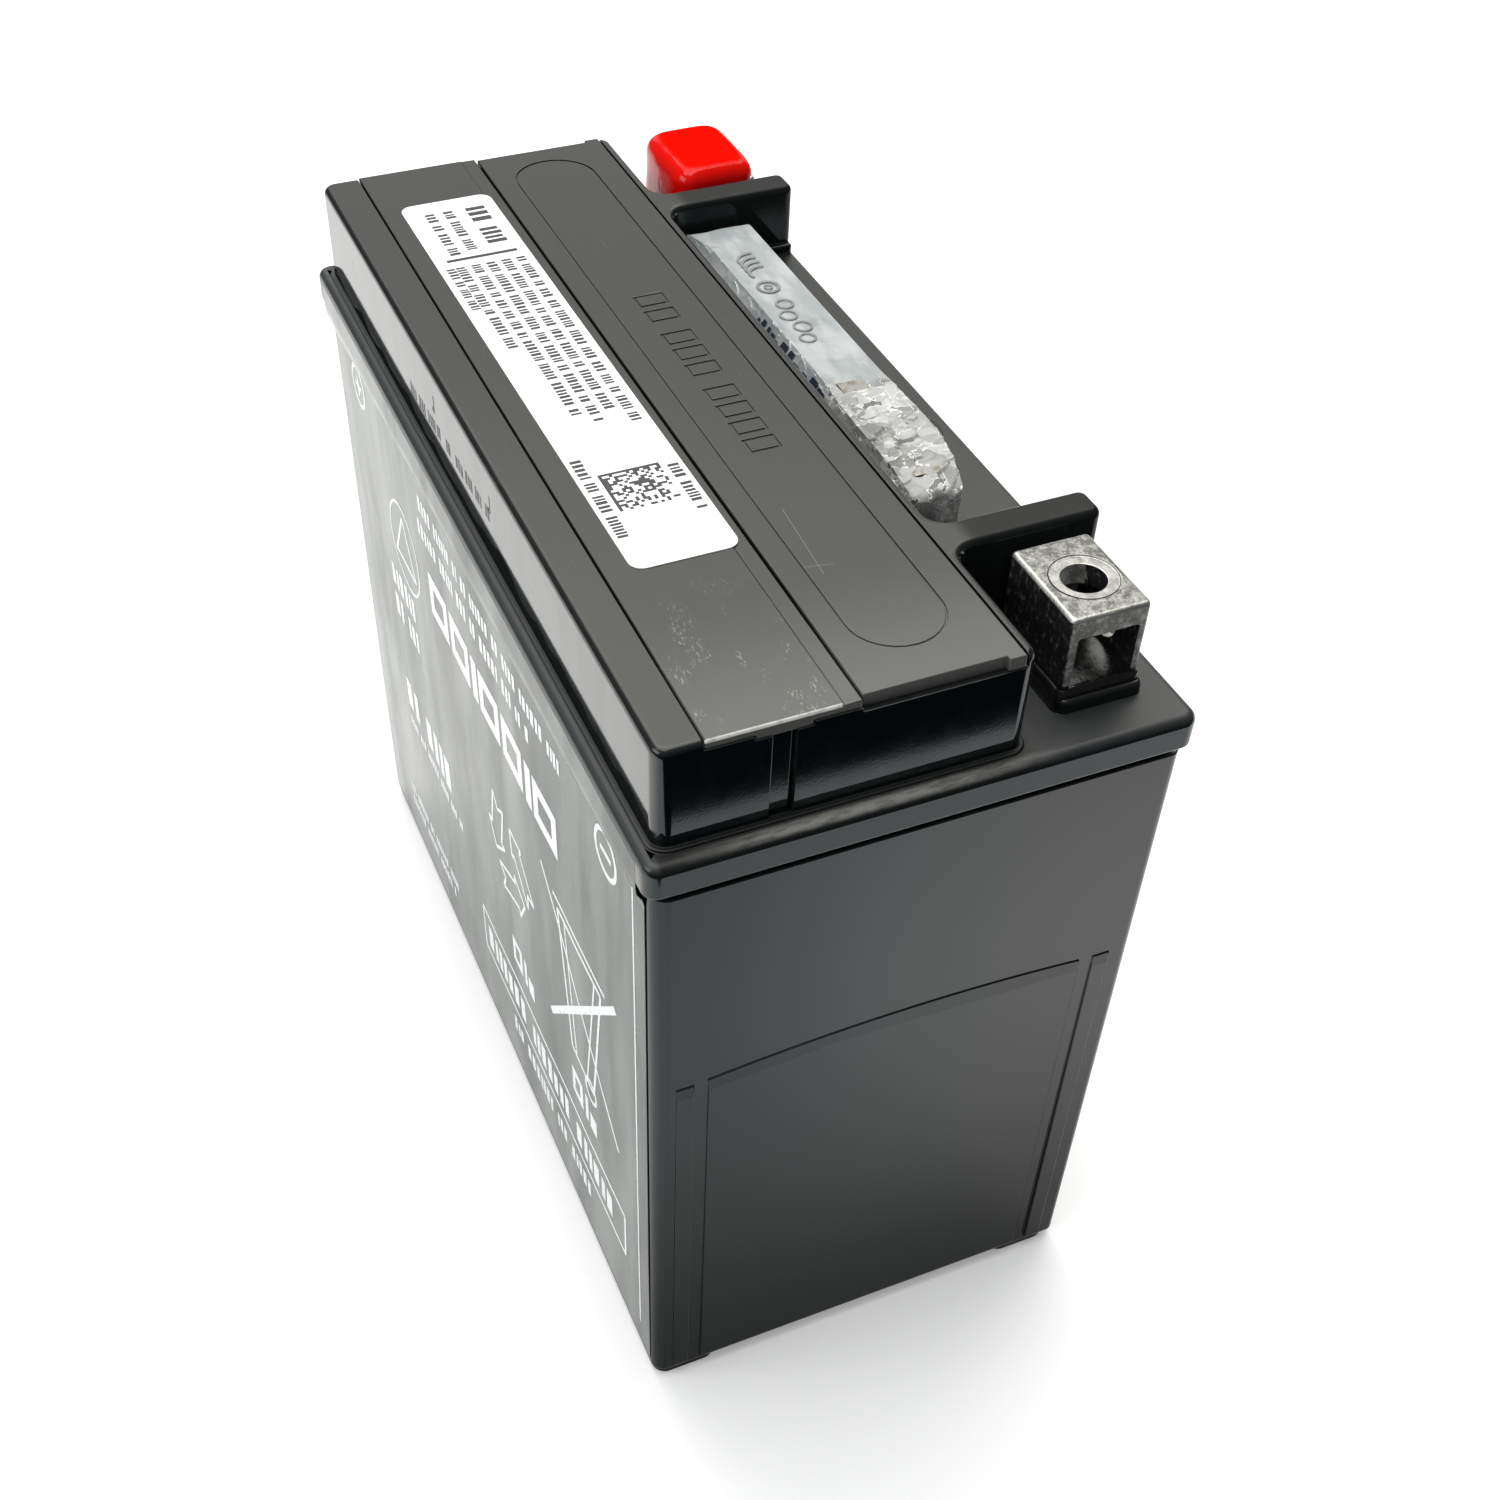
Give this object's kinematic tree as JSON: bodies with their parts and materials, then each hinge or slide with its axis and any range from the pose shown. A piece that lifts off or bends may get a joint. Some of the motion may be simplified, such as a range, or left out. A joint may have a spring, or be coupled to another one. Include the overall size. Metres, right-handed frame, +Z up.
{
  "type": "motorcycle battery",
  "caption": "Sealed lead-acid motorcycle battery: black case with end pads, stepped lid with recessed cap strip, lead block terminals, pull-off red cap and loose hardware packet.",
  "frame": {"origin": "centre of the underside, on the surface the battery stands on", "axes": "+X towards the negative terminal end, -Y towards the printed front face, +Z up"},
  "size_m": [0.175, 0.087, 0.157],
  "materials": {
    "case_plastic": "moulded black polypropylene, satin to glossy",
    "lid_plastic": "moulded black polypropylene, satin, lightly scuffed",
    "seal_rubber": "moulded black rubber",
    "porous_plastic": "sintered porous polypropylene",
    "terminal_lead": "grey cast lead alloy, rough faces and bright rubbed edges",
    "post_sealant": "poured epoxy sealant",
    "red_vinyl": "dip-moulded glossy red vinyl",
    "bag_film": "clear crinkled polyethylene film with grey print",
    "bolt_steel": "zinc-plated steel",
    "nut_brass": "yellow-passivated metal",
    "label_film": "glossy dark film with white print",
    "label_paper": "white label with black print",
    "positive_paste": "lead grids with brown lead dioxide paste",
    "negative_lead": "lead grids with grey spongy lead paste",
    "glass_mat": "absorbent glass mat"
  },
  "bodies": {
    "battery": {"case": "case_plastic", "lid": "lid_plastic", "sealing_cap_strip": "lid_plastic", "cap_plug_seals": "seal_rubber", "valve_cover": "lid_plastic", "flame_arrestors": "porous_plastic", "positive_terminal": "terminal_lead", "negative_terminal": "terminal_lead", "positive_post_seal": "post_sealant", "negative_post_seal": "post_sealant", "front_label": "label_film", "top_label": "label_paper", "positive_plates_1": "positive_paste", "positive_plates_2": "positive_paste", "positive_plates_3": "positive_paste", "positive_plates_4": "positive_paste", "positive_plates_5": "positive_paste", "positive_plates_6": "positive_paste", "negative_plates_1": "negative_lead", "negative_plates_2": "negative_lead", "negative_plates_3": "negative_lead", "negative_plates_4": "negative_lead", "negative_plates_5": "negative_lead", "negative_plates_6": "negative_lead", "separators_1": "glass_mat", "separators_2": "glass_mat", "separators_3": "glass_mat", "separators_4": "glass_mat", "separators_5": "glass_mat", "separators_6": "glass_mat", "intercell_weld_1": "terminal_lead", "intercell_weld_2": "terminal_lead", "intercell_weld_3": "terminal_lead", "intercell_weld_4": "terminal_lead", "intercell_weld_5": "terminal_lead"},
    "terminal_cap": {"positive_terminal_cap": "red_vinyl"},
    "hardware_packet": {"hardware_bag": "bag_film", "terminal_bolts": "bolt_steel", "terminal_nuts": "nut_brass"},
    "valve_1": {"relief_valve_1": "seal_rubber"},
    "valve_2": {"relief_valve_2": "seal_rubber"},
    "valve_3": {"relief_valve_3": "seal_rubber"},
    "valve_4": {"relief_valve_4": "seal_rubber"},
    "valve_5": {"relief_valve_5": "seal_rubber"},
    "valve_6": {"relief_valve_6": "seal_rubber"}
  },
  "joints": [
    {"name": "positive_cap_pull", "type": "slide", "parent": "battery", "child": "terminal_cap", "axis": [0, 0, 1], "range_m": [0, 0.025]},
    {"name": "hardware_packet_lift", "type": "slide", "parent": "battery", "child": "hardware_packet", "axis": [0, 0, 1], "range_m": [0, 0.04]},
    {"name": "relief_valve_1_lift", "type": "slide", "parent": "battery", "child": "valve_1", "axis": [0, 0, 1], "range_m": [0, 0.0008], "stiffness_N_per_m": 200, "springref_m": -0.002},
    {"name": "relief_valve_2_lift", "type": "slide", "parent": "battery", "child": "valve_2", "axis": [0, 0, 1], "range_m": [0, 0.0008], "stiffness_N_per_m": 200, "springref_m": -0.002},
    {"name": "relief_valve_3_lift", "type": "slide", "parent": "battery", "child": "valve_3", "axis": [0, 0, 1], "range_m": [0, 0.0008], "stiffness_N_per_m": 200, "springref_m": -0.002},
    {"name": "relief_valve_4_lift", "type": "slide", "parent": "battery", "child": "valve_4", "axis": [0, 0, 1], "range_m": [0, 0.0008], "stiffness_N_per_m": 200, "springref_m": -0.002},
    {"name": "relief_valve_5_lift", "type": "slide", "parent": "battery", "child": "valve_5", "axis": [0, 0, 1], "range_m": [0, 0.0008], "stiffness_N_per_m": 200, "springref_m": -0.002},
    {"name": "relief_valve_6_lift", "type": "slide", "parent": "battery", "child": "valve_6", "axis": [0, 0, 1], "range_m": [0, 0.0008], "stiffness_N_per_m": 200, "springref_m": -0.002}
  ]
}
